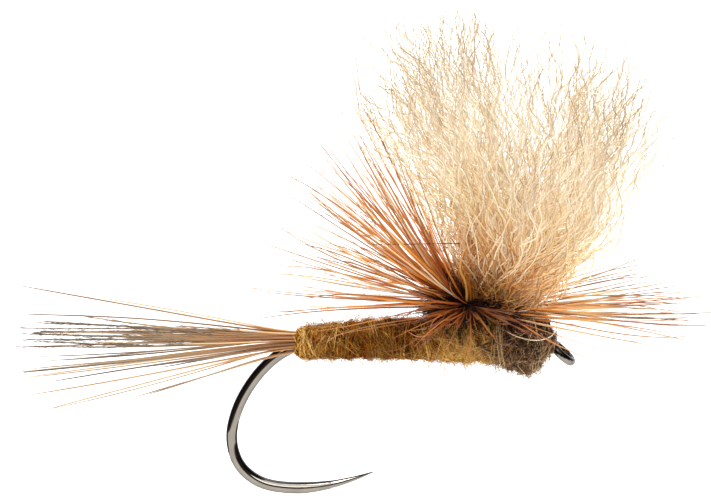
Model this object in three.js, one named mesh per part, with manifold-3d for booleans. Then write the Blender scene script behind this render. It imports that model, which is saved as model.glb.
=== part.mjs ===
// A dry fly tied on a barbless size 12 down-eye hook: a tail of feather barbs, a dubbed body, a wing of
// crinkly hair and a hackle feather wound round the wing's root. Millimetres, +X towards the eye, +Z up to
// the wing, origin at the centre of the hook's eye.
import * as THREE from "three";
import { mergeVertices } from "three/addons/utils/BufferGeometryUtils.js";
import Module from "manifold-3d";

const wasm = await Module();
wasm.setup();

// ---- driving dimensions ----
const WIRE_RADIUS = 0.24; // hook wire, 0.48 mm thick
const SHANK_HEIGHT = 0.39; // shank axis above the eye's centre
const SHANK_FRONT = -0.42; // where the shank runs into the eye
const SHANK_REAR = -10.6; // where the bend begins
const EYE_WIRE_RADIUS = 0.18;
const EYE_RING_RADIUS = 0.54; // to the middle of the wire
const EYE_DROP = THREE.MathUtils.degToRad(42); // the eye turns down by this much
const EYE_SLIT = 0.05; // where the loop's end meets the shank
const EYE_SWELL = 1.2; // over this length the wire thickens from the eye to the shank
// The middle of the wire round the bend and out to the point, as [x, z].
const BEND = [
  [SHANK_REAR, SHANK_HEIGHT],
  [-11.15, 0.35],
  [-12.1, -0.17],
  [-13.0, -1.11],
  [-13.74, -2.44],
  [-14.01, -3.8],
  [-13.67, -4.99],
  [-12.77, -5.75],
  [-11.4, -6.0],
  [-10.0, -5.89],
  [-8.9, -5.62],
  [-7.88, -5.25],
];
const FORGED_HALF = 0.19; // the bend is forged flat to 0.38 mm across
const FORGING = { start: 0.6, end: 1.8 }; // how far behind the shank the forging sets in
const POINT_LENGTH = 3.2; // the barbless point's taper
const TIP_RADIUS = 0.02;
const GAP = 0.015; // between pieces that touch
const THREAD = 0.03; // thickness of one layer of thread
const BARB_RADIUS = 0.04; // a feather barb at its root
const BARB_TIP_RADIUS = 0.015;
const HAIR_RADIUS = 0.05;
const HAIR_TIP_RADIUS = 0.022;
const THREAD_SEAT = WIRE_RADIUS + GAP; // the bore of thread wound on the bare wire
const THREAD_BASE = { rear: -10.7, front: -0.66, turns: 9 };
const THREAD_BASE_RADIUS = THREAD_SEAT + THREAD;
const HEAD_THREAD = { rear: -0.62, front: -0.34, turns: 4, layers: 4 }; // wraps behind the eye
const TAIL_LENGTH = 12.0;
const TAIL_TIE = { rear: -11.2, front: -10.86, turns: 4 }; // wraps that hold the tail
const TAIL_BUTT = -8.6; // where the tail's cut ends lie
// The dubbed body, as [x, radius, height of its middle].
const ABDOMEN = [
  [-10.83, 0.57, 0.44],
  [-10.2, 0.62, 0.5],
  [-9.2, 0.68, 0.56],
  [-8.2, 0.72, 0.6],
  [-7.2, 0.75, 0.62],
  [-6.2, 0.78, 0.62],
  [-5.3, 0.8, 0.62],
];
const THORAX = [
  [-5.27, 0.82, 0.62],
  [-4.6, 0.87, 0.63],
  [-3.9, 0.9, 0.64],
  [-3.2, 0.92, 0.64],
  [-2.5, 0.97, 0.6],
];
const HEAD = [
  [-2.47, 1.0, 0.6],
  [-2.05, 1.12, 0.55],
  [-1.6, 1.2, 0.51],
  [-1.15, 1.15, 0.5],
  [-0.8, 0.93, 0.5],
  [-0.64, 0.6, 0.5],
];
const FUR_RIPPLE = 0.03; // how far the outline swells and shrinks with each turn of fur
const WING_X = -3.55; // where the wing stands on the shank
// The wing's bound root, as [height, radius]: narrow where thread and feather hold it, flared above them.
const ROOT = [
  [SHANK_HEIGHT + THREAD_BASE_RADIUS + GAP, 0.42],
  [1.5, 0.5],
  [2.62, 0.5],
  [2.85, 0.6],
  [3.1, 0.82],
];
const ROOT_SIDES = 24;
const POST_WRAPS = { low: 1.7, high: 1.98, turns: 4 }; // thread round the wing's root, under the hackle
const COLLAR = { low: 2.05, high: 2.57, turns: 4 }; // the hackle's stem
const STEM_RADIUS = 0.055;
const HACKLE_BARBS = 72;
const HACKLE_LENGTH = 8.9;
const TUFT_SHARE = THREE.MathUtils.degToRad(45); // each wing tuft takes an eighth of the root
// The tail's barbs lie on the thread base in two layers, from one side over the top to the other, in degrees.
const TAIL_LAYERS = [
  { radius: THREAD_BASE_RADIUS + GAP + BARB_RADIUS, from: -18, to: 198 },
  { radius: THREAD_BASE_RADIUS + 2 * GAP + 3 * BARB_RADIUS, from: 2, to: 170 },
];
const BARBS_PER_LAYER = 14;
// How far a barb stands above the shank's axis, as [on the shank, at its tip].
const TAIL_FAN = [
  [-0.11, -3.75],
  [-0.01, -2.0],
  [0.02, -1.6],
  [0.1, -1.15],
  [0.18, -0.85],
  [0.215, -0.6],
  [0.255, 0.15],
  [0.31, 0.4],
  [0.36, 0.6],
  [0.41, 0.8],
  [0.428, 1.4],
  [0.435, 2.8],
];
const TAIL_WIDENING = 3.2; // the fan's tips lie this many times further to the side, beyond their start
// The tail bundle's outline on the shank, which the tie-in wraps and the body are bored to clear.
const BUNDLE = { height: 0.475, halfWidth: 0.49, halfHeight: 0.4 };
const HAIRS_PER_TUFT = 9;
// The wing across its fan, from its rear edge to its front edge in equal steps: how far the hairs lean from
// upright towards the eye at root and tip, in degrees, over what length they bend, and the longest hair.
const FAN = [
  { root: 10, tip: -38, bend: 2, reach: 12.1 },
  { root: 26, tip: -23, bend: 2, reach: 12.5 },
  { root: 40, tip: -9, bend: 2, reach: 13.0 },
  { root: 54, tip: 5, bend: 2.2, reach: 10.8 },
  { root: 66, tip: 19, bend: 3, reach: 11.7 },
  { root: 75, tip: 6, bend: 6, reach: 11.8 },
];
// The tufts round the root: where each one's eighth of the root starts in degrees, its place in the fan (0 is
// the rear edge, 1 the front edge) and how far it tips towards +Y in degrees.
const TUFTS = [
  { name: "wing_tuft_rear_left", from: 135, fan: [0.0, 0.24], side: 8 },
  { name: "wing_tuft_mid_rear_left", from: 90, fan: [0.26, 0.5], side: 15 },
  { name: "wing_tuft_mid_front_left", from: 45, fan: [0.52, 0.76], side: 14 },
  { name: "wing_tuft_front_left", from: 0, fan: [0.78, 1.0], side: 8 },
  { name: "wing_tuft_front_right", from: -45, fan: [0.76, 0.98], side: -8 },
  { name: "wing_tuft_mid_front_right", from: -90, fan: [0.5, 0.74], side: -14 },
  { name: "wing_tuft_mid_rear_right", from: -135, fan: [0.24, 0.48], side: -15 },
  { name: "wing_tuft_rear_right", from: -180, fan: [0.0, 0.22], side: -8 },
];

const COLOURS = {
  steel: { color: 0x8d8982, roughness: 0.28, metalness: 1 },
  olive_thread: { color: 0x7a6a25, roughness: 0.6, metalness: 0 },
  black_thread: { color: 0x221c1c, roughness: 0.6, metalness: 0 },
  tail_barb: { color: 0xa56f42, roughness: 0.5, metalness: 0 },
  abdomen_fur: { color: 0x8a6423, roughness: 0.95, metalness: 0 },
  thorax_fur: { color: 0x8c7a2c, roughness: 0.95, metalness: 0 },
  head_fur: { color: 0x5b4a38, roughness: 0.95, metalness: 0 },
  wing_hair: { color: 0xe3bf88, roughness: 0.7, metalness: 0 },
  hackle: { color: 0xa8501e, roughness: 0.45, metalness: 0 },
};

const fly = new THREE.Group();

// ---- helpers ----
function addMesh(name, geometry, finish) {
  const mesh = new THREE.Mesh(geometry, new THREE.MeshStandardMaterial(COLOURS[finish]));
  mesh.name = name;
  fly.add(mesh);
}

// A closed geometry as a manifold-3d solid.
function toSolid(geometry) {
  const bare = geometry.clone();
  bare.deleteAttribute("normal");
  bare.deleteAttribute("uv");
  const merged = mergeVertices(bare, 1e-4);
  return new wasm.Manifold(
    new wasm.Mesh({
      numProp: 3,
      vertProperties: merged.attributes.position.array,
      triVerts: new Uint32Array(merged.index.array),
    }),
  );
}

function toGeometry(solid) {
  const mesh = solid.getMesh();
  return new THREE.BufferGeometry()
    .setAttribute("position", new THREE.BufferAttribute(mesh.vertProperties, 3))
    .setIndex(new THREE.BufferAttribute(mesh.triVerts, 1));
}

// A repeatable random number from low to high.
let seed = 17;
function random(low = 0, high = 1) {
  seed = (seed * 1664525 + 1013904223) % 4294967296;
  return low + ((high - low) * seed) / 4294967296;
}

function evenly(count, start = 0, end = 1) {
  return Array.from({ length: count + 1 }, (_, i) => start + ((end - start) * i) / count);
}

// A cylinder laid along a curve through rings at the given stations (0 to 1), with its own radius at each.
// flatAt limits the half width across the curve's plane, as forging does.
function sweep(curve, stations, sides, radiusAt, flatAt = () => Infinity) {
  const segments = stations.length - 1;
  const tube = new THREE.CylinderGeometry(1, 1, 1, sides, segments);
  const along = curve.getPointAt(1).sub(curve.getPointAt(0));
  const sideways = Math.abs(along.y) > 0.9 * along.length();
  const reference = sideways ? new THREE.Vector3(1, 0, 0) : new THREE.Vector3(0, 1, 0);
  const rings = stations.map((u) => {
    const tangent = curve.getTangentAt(u);
    const up = new THREE.Vector3().crossVectors(tangent, reference).normalize();
    const across = new THREE.Vector3().crossVectors(up, tangent);
    return { u, centre: curve.getPointAt(u), across, up };
  });
  const position = tube.attributes.position;
  for (let i = 0; i < position.count; i++) {
    const ring = rings[Math.round((0.5 - position.getY(i)) * segments)];
    const radius = radiusAt(ring.u);
    const flat = flatAt(ring.u);
    const point = ring.centre
      .clone()
      .addScaledVector(ring.across, THREE.MathUtils.clamp(radius * position.getX(i), -flat, flat))
      .addScaledVector(ring.up, radius * position.getZ(i));
    position.setXYZ(i, point.x, point.y, point.z);
  }
  return tube;
}

// A solid turned round a line along X. profile is [x, radius] from the rear to the front, axis to axis.
function turned(profile, sides, { height = SHANK_HEIGHT, widthScale = 1, heightScale = 1 } = {}) {
  const points = profile.map(([x, radius]) => new THREE.Vector2(radius, x));
  return new THREE.LatheGeometry(points, sides)
    .rotateZ(-Math.PI / 2)
    .scale(1, widthScale, heightScale)
    .translate(0, 0, height);
}

// A solid standing along Z on the wing's axis. profile is [height, radius] from the bottom to the top.
function standing(profile, sides) {
  const points = profile.map(([height, radius]) => new THREE.Vector2(radius, height));
  return new THREE.LatheGeometry(points, sides).rotateX(Math.PI / 2).translate(WING_X, 0, 0);
}

// The wing's root, grown by margin. Sunk below its foot, it also cuts the seat in what surrounds it.
function rootSolid(margin = 0, sink = 0) {
  const outline = ROOT.map(([height, radius]) => [height, radius + margin]);
  const foot = ROOT[0][0] - sink;
  return toSolid(
    standing([[foot, 0], [foot, outline[0][1]], ...outline.slice(1), [ROOT.at(-1)[0], 0]], ROOT_SIDES),
  );
}

// ---- hook ----
function hook() {
  const shank = new THREE.LineCurve3(
    new THREE.Vector3(SHANK_FRONT, 0, SHANK_HEIGHT),
    new THREE.Vector3(SHANK_REAR, 0, SHANK_HEIGHT),
  );
  const bend = new THREE.CatmullRomCurve3(
    BEND.map(([x, z]) => new THREE.Vector3(x, 0, z)),
    false,
    "centripetal",
  );
  const wire = new THREE.CurvePath();
  wire.add(shank);
  wire.add(bend);
  const length = wire.getLength();
  const bendStart = shank.getLength() / length;
  const stations = [0, EYE_SWELL / length, ...evenly(38, bendStart, 1)];
  const radiusAt = (u) => {
    const swelling = Math.min(1, (u * length) / EYE_SWELL);
    const fromEye = THREE.MathUtils.lerp(EYE_WIRE_RADIUS, WIRE_RADIUS, swelling);
    const fromTip = ((1 - u) * length) / POINT_LENGTH;
    return Math.max(TIP_RADIUS, fromEye * Math.min(1, Math.pow(fromTip, 0.75)));
  };
  const flatAt = (u) => {
    const behindShank = u * length - shank.getLength();
    const forged = THREE.MathUtils.smoothstep(behindShank, FORGING.start, FORGING.end);
    return THREE.MathUtils.lerp(WIRE_RADIUS, FORGED_HALF, forged);
  };
  const rod = toSolid(sweep(wire, stations, 12, radiusAt, flatAt));

  const ring = toSolid(
    new THREE.TorusGeometry(EYE_RING_RADIUS, EYE_WIRE_RADIUS, 10, 22).rotateY(EYE_DROP),
  );
  const slit = toSolid(
    new THREE.BoxGeometry(3 * EYE_WIRE_RADIUS, EYE_SLIT, 3 * EYE_WIRE_RADIUS)
      .translate(-EYE_RING_RADIUS, EYE_WIRE_RADIUS + 0.12, 0)
      .rotateY(EYE_DROP),
  );
  return toGeometry(rod.add(ring.subtract(slit)));
}

// ---- thread ----
// Turns of thread side by side round the shank, as a ribbed sleeve with a bore. wall is what lies under them.
function threadWraps({ rear, front, turns }, boreRadius, wall, options) {
  const profile = [[rear, 0]];
  for (const s of evenly(turns * 2)) {
    const x = THREE.MathUtils.lerp(rear, front, s);
    const crown = Math.round(s * turns * 2) % 2 ? THREAD : THREAD * 0.4;
    profile.push([x, boreRadius + wall + crown]);
  }
  profile.push([front, 0]);
  return toSolid(turned(profile, 14, options)).subtract(bore(rear - 1, front + 1, boreRadius, options));
}

function bore(rear, front, radius, options) {
  return toSolid(turned([[rear, 0], [rear, radius], [front, radius], [front, 0]], 14, options));
}

// ---- tail ----
// A value read off hand-chosen [place, value] rows, straight from one row to the next.
function readOff(rows, place) {
  const next = Math.max(1, rows.findIndex(([end]) => end >= place));
  const [[start, first], [end, last]] = rows.slice(next - 1, next + 1);
  return THREE.MathUtils.mapLinear(place, start, end, first, last);
}

// Behind the tie-in the whole bundle opens out like a fan, so no barb crosses another.
function tailBarb(layer, degrees, length) {
  const angle = THREE.MathUtils.degToRad(degrees);
  const side = layer.radius * Math.cos(angle);
  const rise = layer.radius * Math.sin(angle);
  const sideways = TAIL_WIDENING * side + random(-0.16, 0.16);
  const upwards = readOff(TAIL_FAN, rise) - rise + random(-0.12, 0.12);
  const behindTie = (distance) => {
    const open = distance / TAIL_LENGTH;
    return new THREE.Vector3(
      TAIL_TIE.rear - distance,
      side + sideways * open,
      SHANK_HEIGHT + rise + upwards * open,
    );
  };
  const onShank = (x) => new THREE.Vector3(x, side, SHANK_HEIGHT + rise);
  const curve = new THREE.CatmullRomCurve3([
    onShank(TAIL_BUTT + random(-0.3, 0)),
    onShank(TAIL_TIE.front),
    behindTie(0),
    behindTie(length * 0.5),
    behindTie(length),
  ]);
  const taper = (u) => THREE.MathUtils.lerp(BARB_RADIUS, BARB_TIP_RADIUS, Math.max(0, (u - 0.25) / 0.75));
  return sweep(curve, [0, 0.16, 0.2, 0.4, 0.7, 1], 4, taper);
}

// ---- dubbed fur ----
// Fur spun on thread and wound on, so the outline swells at each turn. stations are [x, radius, height of
// the middle].
function dubbing(stations, turns, ripple) {
  const curve = new THREE.SplineCurve(stations.map(([x, radius]) => new THREE.Vector2(x, radius)));
  const profile = [[stations[0][0], 0]];
  for (const s of evenly(turns * 2)) {
    const { x, y } = curve.getPoint(s);
    profile.push([x, y + (Math.round(s * turns * 2) % 2 ? ripple : -ripple)]);
  }
  profile.push([stations.at(-1)[0], 0]);
  const heights = stations.map(([x, , height]) => [x, height]);
  const body = turned(profile, 16, { height: 0 });
  const position = body.attributes.position;
  for (let i = 0; i < position.count; i++) {
    position.setZ(i, position.getZ(i) + readOff(heights, position.getX(i)));
  }
  return toSolid(body);
}

// ---- wing ----
// One tuft's share of the root: what lies inside a wedge that opens towards middle.
function rootShare(middle) {
  const reach = 3;
  const corner = (angle) => new THREE.Vector2(reach * Math.cos(angle), reach * Math.sin(angle));
  const outline = new THREE.Shape([
    new THREE.Vector2(0, 0),
    corner(middle - TUFT_SHARE / 2),
    corner(middle + TUFT_SHARE / 2),
  ]);
  const inset = 2.5 * GAP;
  const wedge = new THREE.ExtrudeGeometry(outline, { depth: 4, bevelEnabled: false }).translate(
    WING_X + inset * Math.cos(middle),
    inset * Math.sin(middle),
    0,
  );
  return rootSolid().intersect(toSolid(wedge));
}

// The fan's row at a place between its rear edge (0) and its front edge (1).
function fanAt(place) {
  const row = place * (FAN.length - 1);
  const before = FAN[Math.floor(row)];
  const after = FAN[Math.ceil(row)];
  const between = (key) => THREE.MathUtils.lerp(before[key], after[key], row % 1);
  return { root: between("root"), tip: between("tip"), bend: between("bend"), reach: between("reach") };
}

// A hair leaves its foot leaning towards the eye, then bends up to where its part of the fan points.
function hairCurve(foot, { root, tip, bend }, side, length) {
  const steps = 6;
  const points = [foot];
  for (let i = 0; i < steps; i++) {
    const travelled = (length * (i + 0.5)) / steps;
    const lean = THREE.MathUtils.degToRad(tip + (root - tip) * Math.exp(-travelled / bend));
    const crinkle = i % 2 ? 0.09 : -0.09;
    const heading = new THREE.Vector3(
      Math.sin(lean + crinkle) * Math.cos(side),
      Math.sin(side),
      Math.cos(lean + crinkle) * Math.cos(side),
    );
    points.push(points.at(-1).clone().addScaledVector(heading, length / steps));
  }
  return new THREE.CatmullRomCurve3(points);
}

// Each tuft is a bunch of hairs fused into its eighth of the root, where thread and cement hold them as one.
function wingTuft({ from, fan, side }) {
  const middle = THREE.MathUtils.degToRad(from) + TUFT_SHARE / 2;
  const [top, topRadius] = ROOT.at(-1);
  let tuft = rootShare(middle);
  evenly(HAIRS_PER_TUFT - 1).forEach((share, i) => {
    const turn = middle + (share - 0.5) * 0.6 * TUFT_SHARE;
    const out = topRadius * (i % 2 ? 0.52 : 0.8);
    const foot = new THREE.Vector3(WING_X + out * Math.cos(turn), out * Math.sin(turn), top - 0.2);
    const row = fanAt(THREE.MathUtils.lerp(fan[0], fan[1], share));
    const tilt = THREE.MathUtils.degToRad(side + random(-9, 9));
    const hair = hairCurve(foot, row, tilt, row.reach * random(0.78, 1));
    const taper = (u) => THREE.MathUtils.lerp(HAIR_RADIUS, HAIR_TIP_RADIUS, u);
    tuft = tuft.add(toSolid(sweep(hair, evenly(5), 3, taper)));
  });
  return toGeometry(tuft);
}

// Turns of thread round the wing's root.
function postWraps() {
  const { low, high, turns } = POST_WRAPS;
  const seat = ROOT[1][1] + GAP;
  const profile = [[low, 0]];
  for (const s of evenly(turns * 2)) {
    const height = THREE.MathUtils.lerp(low, high, s);
    profile.push([height, seat + THREAD * (Math.round(s * turns * 2) % 2 ? 2 : 1)]);
  }
  profile.push([high, 0]);
  return toSolid(standing(profile, ROOT_SIDES)).subtract(rootSolid(GAP));
}

// ---- hackle ----
// A barb's lift above level, in degrees. Behind the wing barbs stand up in a fan, elsewhere they lie low.
function barbLift(around) {
  const behind = Math.pow(Math.max(0, -Math.cos(around)), 1.2);
  return THREE.MathUtils.lerp(random(-7, 14), random(-2, 68), behind);
}

function hackleFeather() {
  const radius = ROOT[1][1] + GAP + THREAD + STEM_RADIUS;
  const helix = new THREE.CatmullRomCurve3(
    evenly(COLLAR.turns * 14).map((s) => {
      const angle = s * COLLAR.turns * Math.PI * 2;
      const z = THREE.MathUtils.lerp(COLLAR.low, COLLAR.high, s);
      return new THREE.Vector3(WING_X + radius * Math.cos(angle), radius * Math.sin(angle), z);
    }),
  );
  let feather = toSolid(
    new THREE.ExtrudeGeometry(
      new THREE.Shape(
        [0, 90, 180, 270].map((degrees) => {
          const angle = THREE.MathUtils.degToRad(degrees);
          return new THREE.Vector2(STEM_RADIUS * Math.cos(angle), STEM_RADIUS * Math.sin(angle));
        }),
      ),
      { extrudePath: helix, steps: COLLAR.turns * 14 },
    ),
  );
  for (let i = 0; i < HACKLE_BARBS; i++) {
    const share = (i + 0.5) / HACKLE_BARBS;
    const root = helix.getPoint(share);
    const around = Math.atan2(root.y, root.x - WING_X) + random(-0.06, 0.06);
    const lift = THREE.MathUtils.degToRad(barbLift(around));
    const length = HACKLE_LENGTH * random(0.86, 1.06);
    const sag = random(-0.25, 0.35);
    const level = Math.cos(lift);
    const out = new THREE.Vector3(Math.cos(around) * level, Math.sin(around) * level, Math.sin(lift));
    const barb = new THREE.QuadraticBezierCurve3(
      root,
      root.clone().addScaledVector(out, length * 0.5).add(new THREE.Vector3(0, 0, sag)),
      root.clone().addScaledVector(out, length),
    );
    const taper = (u) => THREE.MathUtils.lerp(BARB_RADIUS, BARB_TIP_RADIUS, u);
    feather = feather.add(toSolid(sweep(barb, evenly(3), 3, taper)));
  }
  return toGeometry(feather);
}

// ---- the fly ----
const eyeRoom = toSolid(
  new THREE.TorusGeometry(EYE_RING_RADIUS, EYE_WIRE_RADIUS + GAP, 10, 22).rotateY(EYE_DROP),
);
const bundleShape = { height: BUNDLE.height, heightScale: BUNDLE.halfHeight / BUNDLE.halfWidth };
const bundleBore = bore(-12, -1, BUNDLE.halfWidth + GAP, bundleShape);
const shankBore = bore(-6, 0, THREAD_BASE_RADIUS + GAP);
const rootSeat = rootSolid(2 * GAP, 0.1);

addMesh("hook", hook(), "steel");
addMesh("thread_base", toGeometry(threadWraps(THREAD_BASE, THREAD_SEAT, 0)), "olive_thread");
TAIL_LAYERS.forEach((layer, row) => {
  evenly(BARBS_PER_LAYER - 1, layer.from, layer.to).forEach((degrees, i) => {
    const number = String(row * BARBS_PER_LAYER + i + 1).padStart(2, "0");
    const length = TAIL_LENGTH * (i % 5 === 3 ? 0.58 : 0.98) + random(-0.9, 0.2);
    addMesh(`tail_barb_${number}`, tailBarb(layer, degrees, length), "tail_barb");
  });
});
addMesh(
  "tail_tie_in_wraps",
  toGeometry(threadWraps(TAIL_TIE, BUNDLE.halfWidth + GAP, THREAD / 2, bundleShape)),
  "olive_thread",
);

const abdomen = dubbing(ABDOMEN, 9, FUR_RIPPLE);
const thorax = dubbing(THORAX, 5, FUR_RIPPLE);
const head = dubbing(HEAD, 5, FUR_RIPPLE);
addMesh("abdomen_dubbing", toGeometry(abdomen.subtract(bundleBore)), "abdomen_fur");
addMesh("thorax_dubbing", toGeometry(thorax.subtract(bundleBore).subtract(rootSeat)), "thorax_fur");
addMesh("head_dubbing", toGeometry(head.subtract(shankBore)), "head_fur");
addMesh(
  "head_thread_wraps",
  toGeometry(
    threadWraps(HEAD_THREAD, THREAD_SEAT, THREAD * (HEAD_THREAD.layers - 1)).subtract(eyeRoom),
  ),
  "olive_thread",
);
TUFTS.forEach((tuft) => addMesh(tuft.name, wingTuft(tuft), "wing_hair"));
addMesh("wing_post_wraps", toGeometry(postWraps()), "black_thread");
addMesh("hackle_feather", hackleFeather(), "hackle");

export default fly;
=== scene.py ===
"""The looks of a dry fly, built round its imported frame: steel hook, thread, feather barbs, spun fur and
crinkly wing hair, each as its own closed meshes. Lengths are in millimetres until a mesh is made."""

import math
from collections import namedtuple

import bpy
import numpy as np
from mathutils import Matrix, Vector


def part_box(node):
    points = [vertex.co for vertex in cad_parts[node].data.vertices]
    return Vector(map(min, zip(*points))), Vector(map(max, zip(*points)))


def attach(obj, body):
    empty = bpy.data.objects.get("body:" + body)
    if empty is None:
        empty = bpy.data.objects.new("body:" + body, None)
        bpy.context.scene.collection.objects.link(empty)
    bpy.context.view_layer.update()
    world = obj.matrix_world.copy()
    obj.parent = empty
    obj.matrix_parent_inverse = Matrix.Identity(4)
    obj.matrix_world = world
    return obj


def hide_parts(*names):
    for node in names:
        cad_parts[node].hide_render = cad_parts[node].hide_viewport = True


MM = 0.001
SEED = 12
rng = np.random.default_rng(SEED)

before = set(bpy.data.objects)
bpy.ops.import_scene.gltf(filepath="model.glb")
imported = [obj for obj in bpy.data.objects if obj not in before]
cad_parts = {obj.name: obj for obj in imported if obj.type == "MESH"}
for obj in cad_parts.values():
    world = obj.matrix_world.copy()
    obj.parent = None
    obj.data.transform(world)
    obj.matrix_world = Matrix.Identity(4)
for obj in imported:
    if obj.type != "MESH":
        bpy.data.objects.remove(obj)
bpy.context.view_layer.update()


# ---- reading the frame ----
def node_box(node):
    """Lowest and highest corner of a CAD node, in mm."""
    low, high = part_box(node)
    return np.array(low) / MM, np.array(high) / MM


def node_points(node):
    """The vertices of a CAD node, in mm."""
    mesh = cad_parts[node].data
    points = np.zeros(len(mesh.vertices) * 3)
    mesh.vertices.foreach_get("co", points)
    return points.reshape(-1, 3) / MM


thread_low, thread_high = node_box("thread_base")
SHANK_Z = (thread_low[2] + thread_high[2]) / 2
post_low, post_high = node_box("wing_post_wraps")
POST_X = (post_low[0] + post_high[0]) / 2
POST_RADIUS = 0.5  # the wing's root, bound into a post
COLLAR_LOW = post_high[2] + 0.07  # the turns of the hackle's stem start just over the post's thread
COLLAR_HIGH = COLLAR_LOW + 0.52
_, hackle_high = node_box("hackle_feather")
HACKLE_REACH = hackle_high[0] - POST_X
tail_low, tail_high = node_box("tail_tie_in_wraps")


# ---- meshes ----
def unit(vectors):
    return vectors / np.maximum(np.linalg.norm(vectors, axis=-1, keepdims=True), 1e-9)


def frames_along(paths):
    """Tangents and two normals along paths (count, stations, 3), turning as little as they can."""
    tangent = unit(np.gradient(paths, axis=1))
    start = np.cross(tangent[:, 0], rng.normal(size=(len(paths), 3)))
    normal = np.zeros_like(paths)
    normal[:, 0] = unit(start)
    for i in range(1, paths.shape[1]):
        before = normal[:, i - 1]
        along = (before * tangent[:, i]).sum(-1, keepdims=True)
        normal[:, i] = unit(before - along * tangent[:, i])
    return tangent, normal, np.cross(tangent, normal)


def new_piece(name, vertices, faces_by_size, material, replaced=(), attributes=()):
    """A mesh object that rides on the frame. faces_by_size is a list of (count, sides) index arrays."""
    mesh = bpy.data.meshes.new(name)
    mesh.vertices.add(len(vertices))
    mesh.vertices.foreach_set("co", (vertices * MM).astype(np.float32).ravel())
    loops = np.concatenate([faces.ravel() for faces in faces_by_size])
    sizes = np.concatenate([np.full(len(faces), faces.shape[1]) for faces in faces_by_size])
    mesh.loops.add(len(loops))
    mesh.loops.foreach_set("vertex_index", loops.astype(np.int32))
    mesh.polygons.add(len(sizes))
    starts = np.concatenate([[0], np.cumsum(sizes)[:-1]])
    mesh.polygons.foreach_set("loop_start", starts.astype(np.int32))
    mesh.polygons.foreach_set("use_smooth", np.ones(len(sizes), bool))
    for attribute, values in attributes:
        layer = mesh.attributes.new(attribute, "FLOAT", "POINT")
        layer.data.foreach_set("value", values.astype(np.float32))
    mesh.update(calc_edges=True)
    mesh.materials.append(material)
    piece = bpy.data.objects.new(name, mesh)
    bpy.context.scene.collection.objects.link(piece)
    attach(piece, "root")
    if replaced:
        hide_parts(*replaced)
    return piece


def tube_faces(count, stations, sides):
    """Quads and end caps of count closed tubes, each stations rings of sides vertices."""
    ring = np.arange(stations - 1)[:, None] * sides
    k = np.arange(sides)[None, :]
    following = (k + 1) % sides
    quads = np.stack([ring + k, ring + following, ring + sides + following, ring + sides + k], -1)
    caps = np.stack([np.arange(sides)[::-1], (stations - 1) * sides + np.arange(sides)])
    offset = (np.arange(count) * stations * sides)[:, None, None]
    return (quads.reshape(1, -1, 4) + offset).reshape(-1, 4), (caps[None] + offset).reshape(-1, sides)


def tubes(name, paths, radii, sides, material, replaced=(), tint=None, shade=None):
    """Closed tubes along paths (count, stations, 3). along runs 0 to 1 from root to tip, tint and shade are
    one number for each tube, for its material."""
    count, stations, _ = paths.shape
    _, normal, binormal = frames_along(paths)
    angle = np.arange(sides) * 2 * math.pi / sides
    around = np.cos(angle)[:, None] * normal[:, :, None] + np.sin(angle)[:, None] * binormal[:, :, None]
    vertices = (paths[:, :, None] + radii[:, :, None, None] * around).reshape(-1, 3)
    along = np.broadcast_to(np.linspace(0, 1, stations)[None, :, None], (count, stations, sides)).ravel()
    tint = rng.random(count) if tint is None else tint
    shade = np.zeros(count) if shade is None else shade
    each = stations * sides
    return new_piece(
        name,
        vertices,
        tube_faces(count, stations, sides),
        material,
        replaced,
        [("along", along), ("tint", np.repeat(tint, each)), ("shade", np.repeat(shade, each))],
    )


def bezier(controls, stations):
    """Bezier curves with control points (count, k, 3), as paths (count, stations, 3)."""
    degree = controls.shape[1] - 1
    t = np.linspace(0, 1, stations)
    weights = [math.comb(degree, i) * t**i * (1 - t) ** (degree - i) for i in range(degree + 1)]
    return np.einsum("kn,fkc->fnc", np.array(weights), controls)


def tapered(count, stations, profile, spread=0.0):
    """Radii (count, stations) from [(along, radius), ...], with each tube up to spread thicker or thinner."""
    along, radius = zip(*profile)
    line = np.interp(np.linspace(0, 1, stations), along, radius)
    return line[None] * (1 + spread * rng.uniform(-1, 1, (count, 1)))


def smooth_line(points, stations, softness=0.03):
    """A smooth evenly spaced line through given points."""
    points = np.array(points, float)
    steps = np.linalg.norm(np.diff(points, axis=0), axis=1)
    place = np.concatenate([[0], np.cumsum(steps)]) / steps.sum()
    t = np.linspace(0, 1, stations)
    line = np.stack([np.interp(t, place, points[:, i]) for i in range(points.shape[1])], -1)
    window = max(3, int(stations * softness))
    for _ in range(3):
        padded = np.concatenate([line[:1]] * window + [line] + [line[-1:]] * window)
        kernel = np.ones(2 * window + 1) / (2 * window + 1)
        soft = np.stack([np.convolve(padded[:, i], kernel, "valid") for i in range(line.shape[1])], -1)
        line = np.concatenate([line[:1], soft[1:-1], line[-1:]])
    return line


# ---- materials ----
def colour(code):
    """The linear colour of an sRGB code such as "c86432"."""
    parts = [int(code[i : i + 2], 16) / 255 for i in (0, 2, 4)]
    linear = [p / 12.92 if p <= 0.04045 else ((p + 0.055) / 1.055) ** 2.4 for p in parts]
    return (*linear, 1.0)


def new_material(name, roughness, metallic=0.0):
    material = bpy.data.materials.new(name)
    material.use_nodes = True
    shader = material.node_tree.nodes["Principled BSDF"]
    shader.inputs["Roughness"].default_value = roughness
    shader.inputs["Metallic"].default_value = metallic
    return material, material.node_tree, shader


def ramp_node(tree, stops, source):
    """A colour ramp of (place, colour code) stops, read at source."""
    node = tree.nodes.new("ShaderNodeValToRGB")
    elements = node.color_ramp.elements
    while len(elements) < len(stops):
        elements.new(0.5)
    for element, (place, code) in zip(elements, stops):
        element.position = place
        element.color = colour(code)
    tree.links.new(source, node.inputs["Fac"])
    return node.outputs["Color"]


def attribute_node(tree, name):
    node = tree.nodes.new("ShaderNodeAttribute")
    node.attribute_name = name
    return node.outputs["Fac"]


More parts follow.
